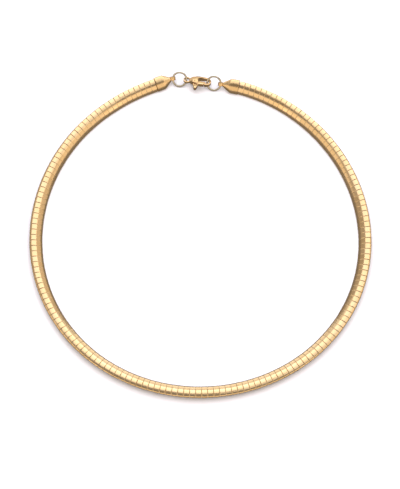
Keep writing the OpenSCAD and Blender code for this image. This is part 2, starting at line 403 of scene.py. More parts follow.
def report(piece):
    """Says how many triangles and open edges a piece has."""
    clear()
    triangles = sum(len(face.vertices) - 2 for face in piece.data.polygons)
    print(piece.name, "has", triangles, "triangles and", open_edges(piece), "open edges")


finish_with(plate, "SOLIDIFY", thickness=PLATE_WALL, offset=-1)
report(plate)
plate_size = [max(v.co[k] for v in plate.data.vertices) - min(v.co[k] for v in plate.data.vertices)
              for k in range(3)]
print("plate size in mm", [round(v, 2) for v in plate_size])

# %% [markdown]
# ## The row of plates
#
# The plate is copied to its place along the loop, each copy with its own mesh. An array on a curve would
# be quicker, but its plates would all stand exactly true, and real ones never do: the tiny differences
# are what make a row of them sparkle. So each copy rocks by half a degree or so and gets a tone of its
# own, drawn from a seeded random generator that gives the same row each time.

# %% Lay the plates along the loop
ROCK_SEED = 11
ROCK_DEGREES = 0.5


def copy_of(piece, name):
    """A copy with its own mesh."""
    clear()
    copy = piece.copy()
    copy.data = piece.data.copy()
    copy.name = copy.data.name = name
    bpy.context.collection.objects.link(copy)
    return copy


def place(piece, matrix):
    """Moves a piece by changing its mesh, so that its object stays at the origin."""
    clear()
    piece.data.transform(matrix)
    if matrix.determinant() < 0:
        piece.data.flip_normals()


dice = random.Random(ROCK_SEED)
row = []
for i in range(PLATE_COUNT):
    t = t_at((i + 0.5) * PITCH)
    copy = copy_of(plate, f"plate_{i}")
    rock = (Matrix.Rotation(math.radians(dice.gauss(0, ROCK_DEGREES)), 4, "Y")
            @ Matrix.Rotation(math.radians(dice.gauss(0, ROCK_DEGREES)), 4, "X"))
    tone = copy.data.attributes.new("tone", "FLOAT", "POINT")
    level = dice.random()
    for value in tone.data:
        value.value = level
    place(copy, in_frame(raw_point(t), rest_height(lean(t)), yaw(t), lean(t)) @ rock)
    row.append(copy)
print("plates laid:", len(row))

# %% [markdown]
# The row is one piece in the frame, so the copies are joined. Smooth shading hides the small flats of the
# dome, and an angle limit keeps the ends of the plates crisp, since a seam that is shaded over would
# disappear.

# %% Join the row
PLATE_CREASE = 20


def join(pieces, name):
    """Joins pieces into one."""
    clear()
    for piece in pieces:
        piece.select_set(True)
    bpy.context.view_layer.objects.active = pieces[0]
    bpy.ops.object.join()
    joined = bpy.context.object
    joined.name = joined.data.name = name
    return joined


def smooth(piece, degrees):
    """Shades a piece smoothly, but not over edges sharper than an angle."""
    clear()
    bpy.context.view_layer.objects.active = piece
    piece.select_set(True)
    bpy.ops.object.shade_smooth_by_angle(angle=math.radians(degrees))


plates = join(row, "omega_plates")
bpy.data.objects.remove(plate)
smooth(plates, PLATE_CREASE)
report(plates)

# %% [markdown]
# ## Gold-tone metal
#
# Polished gold-tone steel is all reflection, so its material is a metallic surface with a warm base
# colour. What makes it real is small: a fine grain that polishing leaves, which softens the reflections,
# and a slow change of tone. Such patterns are sums of noises. They could be wired up node by node, but a
# small class lets them be written as plain sums, and each sum adds its Math node.


# %% Write shader maths as sums
class Signal:
    """A value in a material's node tree that can be added and multiplied like a number."""

    def __init__(self, finish, socket):
        self.finish = finish
        self.socket = socket

    def maths(self, operation, other):
        """Adds a Math node that works on this value and another."""
        return self.finish.node("ShaderNodeMath", {"operation": operation}, {0: self, 1: other})

    def __add__(self, other):
        return self.maths("ADD", other)

    def __sub__(self, other):
        return self.maths("SUBTRACT", other)

    def __rsub__(self, other):
        return self * -1 + other

    def __mul__(self, other):
        return self.maths("MULTIPLY", other)

    __radd__ = __add__
    __rmul__ = __mul__


print("a signal can be added, subtracted and multiplied")

# %% [markdown]
# A finish is one material. All its nodes come from one method, which sets the node first and then feeds
# its sockets with plain values or with signals. The Mix node has sockets for several kinds of value, and
# those for colours are found by their number. Patterns are placed by the object's own coordinates, which
# are the same at every pose and need no unwrapping.

# %% Make finishes
MIX_LOW = 6
MIX_HIGH = 7
MIX_COLOUR = 2


class Finish:
    """A material whose nodes are added by one method."""

    def __init__(self, name):
        self.material = bpy.data.materials.new(name)
        self.material.use_nodes = True
        self.tree = self.material.node_tree
        self.shader = self.tree.nodes["Principled BSDF"]

    def feed(self, socket, value):
        """Links a signal to a socket, or writes a plain value into it."""
        if isinstance(value, Signal):
            self.tree.links.new(value.socket, socket)
        else:
            socket.default_value = value

    def node(self, kind, settings=None, inputs=None, output=0):
        """Adds a node, sets it, feeds it and returns one of its outputs."""
        node = self.tree.nodes.new(kind)
        for key, value in (settings or {}).items():
            setattr(node, key, value)
        for key, value in (inputs or {}).items():
            self.feed(node.inputs[key], value)
        return Signal(self, node.outputs[output])

    def set(self, **values):
        """Feeds the surface itself, by the names of its sockets."""
        for key, value in values.items():
            self.feed(self.shader.inputs[key.replace("_", " ")], value)

    def noise(self, spot, scale, detail=2.0):
        """A soft, cloudy pattern."""
        return self.node("ShaderNodeTexNoise", {}, {"Vector": spot, "Scale": scale, "Detail": detail})

    def mix(self, share, low, high):
        """Goes from one colour to another as the share rises."""
        return self.node("ShaderNodeMix", {"data_type": "RGBA"},
                         {"Factor": share, MIX_LOW: low, MIX_HIGH: high}, MIX_COLOUR)

    def bump(self, strength, distance, height):
        """Lets a pattern tilt the surface a little."""
        return self.node("ShaderNodeBump", {}, {"Strength": strength, "Distance": distance, "Height": height})

    def here(self):
        """The place on the piece, in its own coordinates."""
        return self.node("ShaderNodeTexCoord", output="Object")

    def wear(self, piece):
        """Puts the finish on a piece."""
        piece.data.materials.clear()
        piece.data.materials.append(self.material)


print("a finish feeds its sockets by their names")

# %% [markdown]
# ## The gold of the plates
#
# The plating is one colour, but no two plates look quite alike in a photograph. A painted pattern would
# look printed on, so the plates share one recipe and differ by a number that each copy carries, its tone.
# A coarse noise drifts between two golds, and a fine one roughens the polish and lifts the surface by a
# hair. The plates get the palest gold, and the other metals are mixed later by the same recipe.

# %% Mix the gold
DRIFT_SCALE = 90
DRIFT_ROUGHNESS = 0.05
GRAIN_SCALE = 2600
GRAIN_DETAIL = 3
GRAIN_ROUGHNESS = 0.1
GRAIN_BUMP = 0.06
GRAIN_DEPTH = 0.02 * MM
TONE_SHARE = 0.5
PALE_GOLD = (0.9, 0.65, 0.39, 1)
WARM_GOLD = (0.84, 0.58, 0.3, 1)


def gold(name, light, warm, rough, by_tone=False):
    """Polished gold-tone metal with a fine grain and a slow change of tone."""
    finish = Finish(name)
    spot = finish.here()
    drift = finish.noise(spot, DRIFT_SCALE)
    grain = finish.noise(spot, GRAIN_SCALE, GRAIN_DETAIL)
    share = drift
    if by_tone:
        plate_tone = finish.node("ShaderNodeAttribute", {"attribute_name": "tone"}, output="Fac")
        share = (1 - TONE_SHARE) * drift + TONE_SHARE * plate_tone
    finish.set(
        Base_Color=finish.mix(share, warm, light),
        Metallic=1.0,
        Roughness=rough + GRAIN_ROUGHNESS * (grain - 0.5) + DRIFT_ROUGHNESS * (drift - 0.5),
        Normal=finish.bump(GRAIN_BUMP, GRAIN_DEPTH, grain),
    )
    print(name, "mixed, roughness about", rough)
    return finish


plate_gold = gold("plate_gold", PALE_GOLD, WARM_GOLD, rough=0.2, by_tone=True)

# %% [markdown]
# A finished piece gets its place in the necklace. It could stay a loose object, but then nothing would
# move it with the rest. The row stands for the frame's node of plates and rides on the necklace's body.

# %% Gild the plates
plate_gold.wear(plates)
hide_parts("plates")
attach(plates, "necklace")
print(plates.name, "wears", plate_gold.material.name)

# %% [markdown]
# ## The end caps
#
# A cap is a short folded box that follows the last plate, swallows the core's end and narrows to a loop
# for the jump ring. It could be a plate's section scaled up, but its rim stands out evenly all round. So
# it has the band's own arcs, drawn a rim's height further out, and is closed underneath. It starts as a
# single point on its crown, which the same roll draws out.

# %% Draw the cap's section
CAP_START = 0.1
CAP_RIM = 0.25
CAP_DOME_STEPS = 6
SEED_SIZE = 1.0


def start_point(name, x, y, z):
    """Starts a piece as one point: a plane that loses its other three corners."""
    half = SEED_SIZE / 2
    clear()
    bpy.ops.mesh.primitive_plane_add(size=SEED_SIZE, location=(x + half, y + half, z))
    apply_place()
    piece = start(name)
    pick("VERT", lambda p: p.x > x + half or p.y > y + half)
    bpy.ops.mesh.delete(type="VERT")
    bpy.ops.mesh.select_all(action="SELECT")
    return piece


cap = start_point("cap_shell", CAP_START, 0, PLATE_CROWN + CAP_RIM)
roll_half(CAP_DOME_STEPS)
extrude(y=-SIDE_U)
finish_with(cap, "MIRROR", use_axis=(False, True, False), merge_threshold=0.05)
print("points in the cap's section:", len(cap.data.vertices))

# %% [markdown]
# From its mouth the cap runs straight for three millimetres and then narrows to a tongue. Each station
# says how far along it is, and what share of the width and of the height is left there. The section is
# extruded from one station to the next and scaled on the way, as it would be by hand.

# %% Draw it out to the tongue
CAP_STATIONS = ((0.5, 1, 1), (3.3, 1, 1), (3.75, 0.99, 0.99), (4.4, 0.86, 0.93), (5.3, 0.68, 0.82),
                (6.2, 0.5, 0.71), (7.0, 0.34, 0.61), (7.36, 0.28, 0.52))
ORIGIN = (0, 0, 0)


def resize(x, y, z):
    """Scales what is picked about the cap's middle line."""
    bpy.ops.transform.resize(value=(x, y, z), center_override=ORIGIN)


edit(cap)
bpy.ops.mesh.select_all(action="SELECT")
along, width, height = CAP_START, 1.0, 1.0
for to, wide, high in CAP_STATIONS:
    extrude(x=to - along)
    resize(1, wide / width, high / height)
    along, width, height = to, wide, high
bpy.ops.mesh.edge_face_add()
print("stations along the cap:", len(CAP_STATIONS))

# %% [markdown]
# The mouth has a rolled lip and a pocket for the end of the core. A boolean would cut the pocket, but it
# leaves untidy faces that don't subdivide well. Going back over the rim and in gives clean ones. A round
# of subdivision at the end softens the whole cap as the stamping die does.

# %% Roll its lip and sink its pocket
POCKET = 2.6
LIP = 0.06
LIP_SHARE = (0.97, 0.94)
MOUTH_SHARE = (0.92, 0.82)

pick("VERT", lambda p: p.x < CAP_START + LIP)
extrude(x=-LIP)
resize(1, *LIP_SHARE)
extrude(x=LIP)
resize(1, *MOUTH_SHARE)
extrude(x=POCKET - CAP_START)
bpy.ops.mesh.edge_face_add()
weld()
finish_with(cap, "SUBSURF", levels=1)
report(cap)

# %% [markdown]
# The tongue is a strip that is rolled nearly all the way round. A torus would look like a solid bead, so
# a small rectangle with rounded corners is spun about the loop's axis instead. It stops just short of its
# start, which leaves the seam that a real rolled loop has.

# %% Roll the loop at the tip
BARREL_R = 1.2
BARREL_HOLE_R = 0.8
BARREL_W = 1.6
BARREL_SWEEP = 348
BARREL_STEPS = 32
STRIP_ROUND = 0.1
ACROSS = (0, 1, 0)
SOFT_CREASE = 40
wall = BARREL_R - BARREL_HOLE_R

clear()
bpy.ops.mesh.primitive_plane_add(size=1, location=((BARREL_R + BARREL_HOLE_R) / -2, 0, 0))
bpy.context.object.scale = (wall, BARREL_W, 1)
apply_place()
loop = start("rolled_loop")
bpy.ops.mesh.select_all(action="SELECT")
bpy.ops.mesh.bevel(affect="VERTICES", offset=STRIP_ROUND, segments=3)
bpy.ops.mesh.select_all(action="SELECT")
spin(BARREL_SWEEP, BARREL_STEPS, ORIGIN, ACROSS)
weld()
smooth(loop, SOFT_CREASE)
report(loop)

# %% [markdown]
# A cap is used twice, and the right one is the mirror image of the left. The rings lean more than the
# band does, so the loop at the tip is turned and leaned part of the way towards the ring that hangs in
# it, as the soft tongue of a real cap is bent by hand when the necklace is put together.

# %% Set the caps on the band's ends
BARREL_TURN = 0.6
CAP_CREASE = 35
TAN_GOLD = (0.8, 0.57, 0.32, 1)
DEEP_GOLD = (0.72, 0.48, 0.24, 1)
cap_lean = (lean(0) + lean(SWEEP)) / 2
cap_z = rest_height(cap_lean) + CAP_RIM
closure_gold = gold("closure_gold", TAN_GOLD, DEEP_GOLD, rough=0.22)


def put_on(piece, metal, node, body="necklace"):
    """Gives a closure piece its metal, hides the frame's node that it stands for, and hangs it on a body."""
    metal.wear(piece)
    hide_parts(node)
    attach(piece, body)
    report(piece)


def in_loop(barrel, cap_yaw):
    """Matrix for a rolled loop, which lies between its cap and the ring that hangs in it."""
    turn = cap_yaw + BARREL_TURN * (close_yaw - cap_yaw)
    return in_frame(barrel, close_z, turn, cap_lean + BARREL_TURN * (RING_LEAN - cap_lean))


def set_cap(name, end, cap_yaw, barrel, flip):
    """Sets a shell and its rolled loop on one end of the band."""
    shell = copy_of(cap, name)
    place(shell, in_frame(end, cap_z, cap_yaw, cap_lean) @ flip)
    ring_loop = copy_of(loop, name + "_loop")
    place(ring_loop, in_loop(barrel, cap_yaw) @ flip)
    whole_cap = join([shell, ring_loop], name)
    smooth(whole_cap, CAP_CREASE)
    put_on(whole_cap, closure_gold, name.replace("gold_", ""))


set_cap("gold_cap_left", raw_point(SWEEP), left_yaw, left_barrel, Matrix.Identity(4))
set_cap("gold_cap_right", raw_point(0), right_yaw, right_barrel, Matrix.Scale(-1, 4, ALONG))
bpy.data.objects.remove(cap)
bpy.data.objects.remove(loop)

# %% [markdown]
# ## The jump rings
#
# A jump ring is cut from a coil of wire, so its ends meet in a fine butt joint. A torus has no ends, so a
# circle of wire is spun almost all the way round, and both ends are closed with flat faces.

# %% Bend a ring
WIRE_SIDES = 16
RING_SWEEP = 358
RING_STEPS = 72
UP = (0, 0, 1)

clear()
bpy.ops.mesh.primitive_circle_add(vertices=WIRE_SIDES, radius=WIRE_R, location=(RING_R, 0, 0),
                                  rotation=(math.pi / 2, 0, 0))
apply_place()
ring = start("jump_ring")
bpy.ops.mesh.select_all(action="SELECT")
spin(RING_SWEEP, RING_STEPS, ORIGIN, UP)
bpy.ops.mesh.select_mode(type="EDGE")
bpy.ops.mesh.select_all(action="DESELECT")
bpy.ops.mesh.select_non_manifold()
bpy.ops.mesh.fill_holes(sides=WIRE_SIDES)
weld()
report(ring)

# %% [markdown]
# The same ring hangs at both sides of the clasp, but its joint ends up anywhere. So each copy is turned
# in its own plane before it is placed. The photograph shows the wire greyer than the plates, so it gets
# the same polish with two greyer golds.

# %% Hang both rings
RING_SEAMS = {"left": 250, "right": 65}
PALE_WIRE = (0.62, 0.56, 0.46, 1)
DULL_WIRE = (0.5, 0.44, 0.34, 1)
ring_gold = gold("ring_gold", PALE_WIRE, DULL_WIRE, rough=0.2)

for side, spot in (("left", left_ring), ("right", right_ring)):
    hung = copy_of(ring, "gold_ring_" + side)
    seam = Matrix.Rotation(math.radians(RING_SEAMS[side]), 4, "Z")
    place(hung, in_frame(spot, close_z, close_yaw, RING_LEAN) @ seam)
    smooth(hung, SOFT_CREASE)
    put_on(hung, ring_gold, "ring_" + side)
bpy.data.objects.remove(ring)

# %% [markdown]
# ## The lobster clasp
#
# The claw is a small casting: a teardrop seen from its face, domed on both sides, with an eyelet at one
# end and a hook round the space that holds the ring. It could be sculpted, but a caster's pattern is
# drawn from rounds, and so is this: three centres with a radius each. The nose is placed last, so that
# the right ring lies where the two caps want it.

# %% Find the claw's centres
EYELET_R = 1.55
EYELET_SLACK = 0.25
NOSE_SLACK = 0.3
CLASP_TILT = 14
eyelet = left_ring + (RING_R + EYELET_SLACK) * ahead(close_yaw)
held_wire = (right_ring - left_ring).length - 2 * RING_R - EYELET_SLACK
neck = Vector((1.2, 0, 0))
neck_r = 0.8
broad = Vector((5.3, 0.2, 0))
broad_r = 2.5
nose = Vector((held_wire - NOSE_SLACK, 0, 0))
nose_r = 2.05
in_clasp = in_frame(eyelet, close_z, close_yaw, -CLASP_TILT)
print("claw from the eyelet to the nose", round(nose.x + nose_r + EYELET_R, 2), "mm")

# %% [markdown]
# The straight sides of the outline touch the rounds without a corner. Where they touch could be found by
# eye, but it follows from the two radii and the distance between the centres, as for a belt on two
# wheels.


# %% Find where the sides meet the rounds
def side_angle(a, a_r, b, b_r, side):
    """Angle at which a straight side meets the rounds at both of its ends."""
    run = b - a
    return math.degrees(math.atan2(run.y, run.x)) + side * math.degrees(math.acos((a_r - b_r) / run.length))


spine_back = side_angle(neck, neck_r, broad, broad_r, 1)
spine_front = side_angle(broad, broad_r, nose, nose_r, 1)
lever_back = side_angle(neck, neck_r, broad, broad_r, -1) + 360
lever_front = side_angle(broad, broad_r, nose, nose_r, -1)
print("sides meet the rounds at", [round(a, 1) for a in (spine_back, spine_front, lever_back, lever_front)])

# %% [markdown]
# The outline is drawn as one closed line, a spin for each round and an extruded edge for each side. That
# gives points only where the form turns. A filled face and one extrusion make it a block to carve.

# %% Draw the claw's outline
CLAW_T = 2.6
NOSE_STEPS = 24
BROAD_STEPS = 6
NECK_STEPS = 8


def line_to(x, y):
    """Draws a straight edge from the picked point to a place in the same level plane."""
    mesh = bmesh.from_edit_mesh(bpy.context.object.data)
    last = next(point.co.copy() for point in mesh.verts if point.select)
    extrude(x - last.x, y - last.y)


def fill_and_raise(thickness):
    """Closes a drawn outline with a face and gives it a thickness about its own level."""
    bpy.ops.mesh.select_all(action="SELECT")
    bpy.ops.mesh.remove_doubles(threshold=TOUCHING)
    bpy.ops.mesh.select_all(action="SELECT")
    bpy.ops.mesh.edge_face_add()
    bpy.ops.transform.translate(value=(0, 0, -thickness / 2))
    extrude(z=thickness)
    weld()


first = nose + nose_r * ahead(lever_front)
claw = start_point("gold_claw", first.x, first.y, 0)
spin(spine_front - lever_front, NOSE_STEPS, nose, UP)
line_to(*(broad + broad_r * ahead(spine_front)).xy)
spin(spine_back - spine_front, BROAD_STEPS, broad, UP)
line_to(*(neck + neck_r * ahead(spine_back)).xy)
spin(lever_back - spine_back, NECK_STEPS, neck, UP)
line_to(*(broad + broad_r * ahead(lever_back)).xy)
spin(lever_front + 360 - lever_back, BROAD_STEPS, broad, UP)
line_to(first.x, first.y)
fill_and_raise(2 * CLAW_T)
report(claw)

# %% [markdown]
# A casting pattern is carved from one direction after another, and a boolean intersection does the same.
# The first tool is a long lens, and what lies inside it is kept. That domes both faces of the claw at
# once, which no bevel could do, because the dome runs over the whole width.

# %% Dome its faces
CLAW_DOME_R = 4.6
LENS_START = -1
LENS_LEN = 14
LENS_STEPS = 24
half_t = CLAW_T / 2
dome_side = math.degrees(math.acos((CLAW_DOME_R - half_t) / CLAW_DOME_R))


def shape_with(piece, tool, operation):
    """Cuts, joins or trims a piece with another one, which is used up."""
    finish_with(piece, "BOOLEAN", object=tool, operation=operation, solver="EXACT")
    bpy.data.objects.remove(tool)
    edit(piece)
    weld()
    clear()


lens = start_point("lens", LENS_START, -CLAW_DOME_R * sin(dome_side), 0)
spin(-2 * dome_side, LENS_STEPS, (0, 0, half_t - CLAW_DOME_R), ALONG)
finish_with(lens, "MIRROR", use_axis=(False, False, True), merge_threshold=0.01)
edit(lens)
bpy.ops.mesh.select_all(action="SELECT")
bpy.ops.mesh.edge_face_add()
extrude(x=LENS_LEN)
weld()
shape_with(claw, lens, "INTERSECT")
report(claw)

# %% [markdown]
# The second tool is the claw's side view, which thins the neck and the nose. It is drawn flat, from the
# corners of its upper half and their mirror images, and then stood up.

# %% Trim it to its side view
EYELET_T = 1.0
NOSE_T = 1.6
THROUGH = 8
pivot = Vector((3.6, -0.9, 0))


def slab(name, corners, thickness):
    """A flat piece with straight sides, through corners given in order."""
    piece = start_point(name, corners[0][0], corners[0][1], 0)
    for corner in corners[1:]:
        line_to(*corner)
    fill_and_raise(thickness)
    return piece


top = [(0.9, EYELET_T / 2), (pivot.x - 0.5, half_t), (broad.x, half_t), (nose.x - 0.6, NOSE_T / 2),
       (nose.x + nose_r, NOSE_T / 2 - 0.15)]
side_view = slab("side_view", top + [(x, -z) for x, z in reversed(top)], THROUGH)
place(side_view, Matrix.Rotation(math.radians(90), 4, "X"))
shape_with(claw, side_view, "INTERSECT")
nose_heights = [vertex.co.z for vertex in claw.data.vertices if vertex.co.x > nose.x]
print("the nose is now", round(max(nose_heights) - min(nose_heights), 2), "mm thick")

# %% [markdown]
# The eyelet is a flat ring in one piece with the claw. A disc is joined on, and a smaller one is taken
# out of it. The same disc helper serves later for the lever's hub, the pin and their holes.

# %% Add the eyelet
EYELET_HOLE_R = 1.1
EYELET_SIDES = 40


def disc(name, x, y, radius, thickness, sides=32):
    """A flat round piece, centred in height."""
    clear()
    bpy.ops.mesh.primitive_cylinder_add(vertices=sides, radius=radius, depth=thickness, location=(x, y, 0))
    apply_place()
    piece = bpy.context.object
    piece.name = piece.data.name = name
    return piece


shape_with(claw, disc("eyelet", 0, 0, EYELET_R, EYELET_T, EYELET_SIDES), "UNION")
shape_with(claw, disc("eyelet_hole", 0, 0, EYELET_HOLE_R, THROUGH), "DIFFERENCE")
report(claw)

# %% [markdown]
# The hook is what is left when a long round hole is cut for the jump ring and a gap is cut below it,
# which the gate will close. Bending a rod into a hook would be another way, but a real claw is cast
# whole, and a hole about the nose's own centre leaves an even wall there.

# %% Cut the space and the gap
CLAW_SPACE_R = 1.35
SPACE_STEPS = 16
OUTSIDE = -6
GAP_TOP = -0.6
GATE_LAP = 1.15
HOOK_LAP = 0.9
gate_start = 5.05
space_start = gate_start + GATE_LAP
hook_end = nose.x - HOOK_LAP

space = start_point("space", nose.x, -CLAW_SPACE_R, 0)
spin(180, SPACE_STEPS, nose, UP)
line_to(space_start, CLAW_SPACE_R)
spin(180, SPACE_STEPS, (space_start, 0, 0), UP)
line_to(nose.x, -CLAW_SPACE_R)
fill_and_raise(THROUGH)
shape_with(claw, space, "DIFFERENCE")
gap_corners = [(gate_start, OUTSIDE), (hook_end, OUTSIDE), (hook_end, GAP_TOP), (gate_start, GAP_TOP)]
shape_with(claw, slab("gap", gap_corners, THROUGH), "DIFFERENCE")
print("the gap is", round(hook_end - gate_start, 2), "mm wide")

# %% [markdown]
# The lever swings in a slot between two cheeks, on a pin through both. The slot's corners are given from
# the pin, because they only have to clear the lever as it turns. The edges are softened last, since a
# casting that is polished in a drum has no sharp edge left, and a bevel by angle finds them all.

# %% Cut the slot and soften the claw
SLOT_T = 1.2
SLOT_CORNERS = ((-0.95, OUTSIDE), (2.1, OUTSIDE), (2.1, 1.62), (-0.4, 0.9), (-0.95, 0.3))
PIN_R = 0.3
PIN_PLAY = 0.02
PIN_SIDES = 20
SHARP = 40
CLAW_SOFT = 0.09


def soften(piece, width):
    """Rounds the sharp edges of a piece."""
    finish_with(piece, "BEVEL", width=width, segments=2, limit_method="ANGLE",
                angle_limit=math.radians(SHARP), use_clamp_overlap=True)


slot = slab("slot", [(pivot.x + x, pivot.y + y) for x, y in SLOT_CORNERS], SLOT_T)
shape_with(claw, slot, "DIFFERENCE")
shape_with(claw, disc("pin_hole", pivot.x, pivot.y, PIN_R + PIN_PLAY, THROUGH, PIN_SIDES), "DIFFERENCE")
soften(claw, CLAW_SOFT)
report(claw)

# %% [markdown]
# In the photograph the clasp looks browner than the stamped plates, so it gets a gold of its own. The
# same recipe is used again with two other colours, which keeps all the metals alike in their polish. The
# claw then moves from its own axes to its place between the rings.

# %% Gild the claw and hang it
CLASP_CREASE = 35
ROSE_GOLD = (0.74, 0.5, 0.27, 1)
BROWN_GOLD = (0.6, 0.38, 0.18, 1)
clasp_gold = gold("clasp_gold", ROSE_GOLD, BROWN_GOLD, rough=0.22)
smooth(claw, CLASP_CREASE)
place(claw, in_clasp)
put_on(claw, clasp_gold, "clasp_body")

# %% [markdown]
# ## The lever and its pin
#
# The lever turns on a pin between the cheeks. One arm is the gate, whose tongue rests behind the hook's
# end, and the other is the tab that a thumb pushes. Its parts differ in thickness, so one outline can't
# make it all: it is joined from flat slabs about its own pin, and it starts as the hub with a short arm.
# It rides the frame's moving body, so it is a piece of its own.

# %% Join the hub and the arm
LEVER_T = 1.0
HUB_R = 0.75
GATE_PLAY = 0.2
HOOK_PLAY = 0.25
GATE_TOP = 0.56
GATE_BOTTOM = -1.2
ARM_LAP = 0.2
gate_from = gate_start + GATE_PLAY - pivot.x
gate_to = hook_end - HOOK_PLAY - pivot.x

lever = disc("gold_lever", 0, 0, HUB_R, LEVER_T)
arm = [(0, 0.7), (0, -HUB_R), (gate_from + ARM_LAP, GATE_BOTTOM), (gate_from + ARM_LAP, GATE_TOP)]
shape_with(lever, slab("arm", arm, LEVER_T), "UNION")
report(lever)

# %% [markdown]
# The tab narrows to a round end. Its outline is drawn like the claw's, from the corners of its top down
# one side, round the end and up again. The thumb pad comes later and has the same lower form, so this is
# a helper.

# %% Add the tab
TAB_TIP_R = 0.55
TAB_TIP_FROM = 195
TAB_TIP_SWEEP = 150
TAB_TIP_STEPS = 10
HUB_LAP = 0.05
SHOULDER_X = -0.65
SHOULDER_Y = -1.5
tab_tip = Vector((0.5, -3.2, 0))
tab_left = tab_tip + TAB_TIP_R * ahead(TAB_TIP_FROM)


def tab_slab(name, top, thickness):
    """The tab's form from the corners of its top down to its round end."""
    piece = start_point(name, *top[0], 0)
    for corner in top[1:-1]:
        line_to(*corner)
    line_to(*tab_left.xy)
    spin(TAB_TIP_SWEEP, TAB_TIP_STEPS, tab_tip, UP)
    line_to(*top[-1])
    fill_and_raise(thickness)
    return piece


tab = [(1.6, -1.15), (HUB_R - HUB_LAP, 0), (HUB_LAP - HUB_R, 0), (SHOULDER_X, SHOULDER_Y), (1.65, SHOULDER_Y)]
shape_with(lever, tab_slab("tab", tab, LEVER_T), "UNION")
report(lever)

# %% [markdown]
# The gate is thicker than the lever's plate, so that it fills the gap in the claw, and ends in a narrow
# tongue behind the hook. The pad is thicker still. Its upper left corner has to lie on the tab's own
# side, so it is worked out from that line and not guessed.

# %% Add the gate and the pad
GATE_T = 1.6
TONGUE = 0.7
TONGUE_TOP = 0.28
TONGUE_BOTTOM = -0.38
PAD_T = 1.8
PAD_TOP = -2.05
PAD_RIGHT = 1.49
gate = [(gate_from, GATE_TOP), (gate_from, GATE_BOTTOM), (gate_to, GATE_BOTTOM), (gate_to, TONGUE_BOTTOM),
        (gate_to + TONGUE, TONGUE_BOTTOM), (gate_to + TONGUE, TONGUE_TOP)]
pad_left = SHOULDER_X + (PAD_TOP - SHOULDER_Y) / (tab_left.y - SHOULDER_Y) * (tab_left.x - SHOULDER_X)
pad = [(PAD_RIGHT, PAD_TOP), (pad_left, PAD_TOP), (PAD_RIGHT, PAD_TOP)]
shape_with(lever, slab("gate", gate, GATE_T), "UNION")
shape_with(lever, tab_slab("pad", pad, PAD_T), "UNION")
report(lever)

# %% [markdown]
# The hole for the pin is bored after the parts are joined, so that it goes through all of them, and a
# little wider than the pin, so that the lever can turn. Then the lever is softened, gilded and moved to
# its place.

# %% Bore the lever and hang it
BEARING_PLAY = 0.05
LEVER_SOFT = 0.08
on_pin = in_clasp @ Matrix.Translation(pivot)
shape_with(lever, disc("bearing", 0, 0, PIN_R + BEARING_PLAY, THROUGH, PIN_SIDES), "DIFFERENCE")
soften(lever, LEVER_SOFT)
smooth(lever, CLASP_CREASE)
place(lever, on_pin)
put_on(lever, clasp_gold, "clasp_lever", body="lever")

# %% [markdown]
# The pin is a length of wire whose ends are hammered into shallow heads. Half a ball at each end would
# stand out too far. Two insets, each with a small rise, draw the low dome that a hammer leaves.

# %% Rivet the pin
PIN_SUNK = 0.4
PIN_LEN = CLAW_T - PIN_SUNK
HEAD_STEPS = ((0.08, 0.05), (0.1, 0.03))
PIN_CREASE = 50
pin = disc("gold_pin", 0, 0, PIN_R, PIN_LEN, PIN_SIDES)
edit(pin)
for end in (-1, 1):
    pick("FACE", lambda p: p.z * end > PIN_LEN / 4)
    for inwards, outwards in HEAD_STEPS:
        bpy.ops.mesh.inset(thickness=inwards, depth=outwards)
weld()
smooth(pin, PIN_CREASE)
place(pin, on_pin)
put_on(pin, clasp_gold, "clasp_pin")

# %% [markdown]
# ## The core
#
# Under the plates runs a woven brass ribbon. Only thin lines of it show, in the gaps between the plates
# and along the open back. Modelling each wire would cost far more than it shows, so the frame's own solid
# is kept and a fine weave is drawn into its material.

# %% Weave in the core's material
DARK_BRASS = (0.3, 0.19, 0.08, 1)
PALE_BRASS = (0.62, 0.42, 0.18, 1)
WEAVE_SCALE = 900
WEAVE_WANDER = 1.5
WEAVE_ROUGHNESS = 0.35
WEAVE_SPREAD = 0.2
WEAVE_BUMP = 0.5
WEAVE_DEPTH = 0.05 * MM

weave = Finish("core_weave")
wires = weave.node("ShaderNodeTexWave", {"bands_direction": "DIAGONAL"},
                   {"Vector": weave.here(), "Scale": WEAVE_SCALE, "Distortion": WEAVE_WANDER, "Detail": 1})
weave.set(
    Base_Color=weave.mix(wires, DARK_BRASS, PALE_BRASS),
    Metallic=1.0,
    Roughness=WEAVE_ROUGHNESS + WEAVE_SPREAD * (wires - 0.5),
    Normal=weave.bump(WEAVE_BUMP, WEAVE_DEPTH, wires),
)
weave.wear(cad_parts["core"])
print("core finished with", WEAVE_SCALE, "as the scale of its weave")

# %% [markdown]
# ## The surface it lies on
#
# The necklace was laid on plain white card, so bright that only the shadow beside the band has any tone.
# One flat face is enough for it. It is kept out of mirror reflections, because an endless white floor
# would wash out the darker sides of the plates, which on the real card reflect the room beyond its edge.

# %% Lay down the pale surface
CARD_SIZE = 3.0
CARD_TONE = (0.74, 0.73, 0.8, 1)
clear()
bpy.ops.mesh.primitive_plane_add(size=CARD_SIZE, location=ORIGIN)
apply_place()
floor = bpy.context.object
floor.name = "floor"
floor.visible_glossy = False
card = Finish("white_card")
card.set(Base_Color=CARD_TONE, Roughness=0.6)
card.wear(floor)
floor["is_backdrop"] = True
print("surface", [round(side, 2) for side in floor.dimensions.xy], "m across")

# %% [markdown]
# ## Soft light
#
# Polished metal shows what is round it more than its own colour. Bare lamps would leave hard sparks on
# it, so it is lit by large soft boxes, and each is given the brightness that it has when it is seen in a
# mirror. Its power follows from that and from its size, so a box can be made larger without changing its
# reflection. The first one is broad and white, high up behind, and makes the cream highlight along the
# outer half of the band.

# %% Hang the first soft box
WHITE = (1, 1, 1)


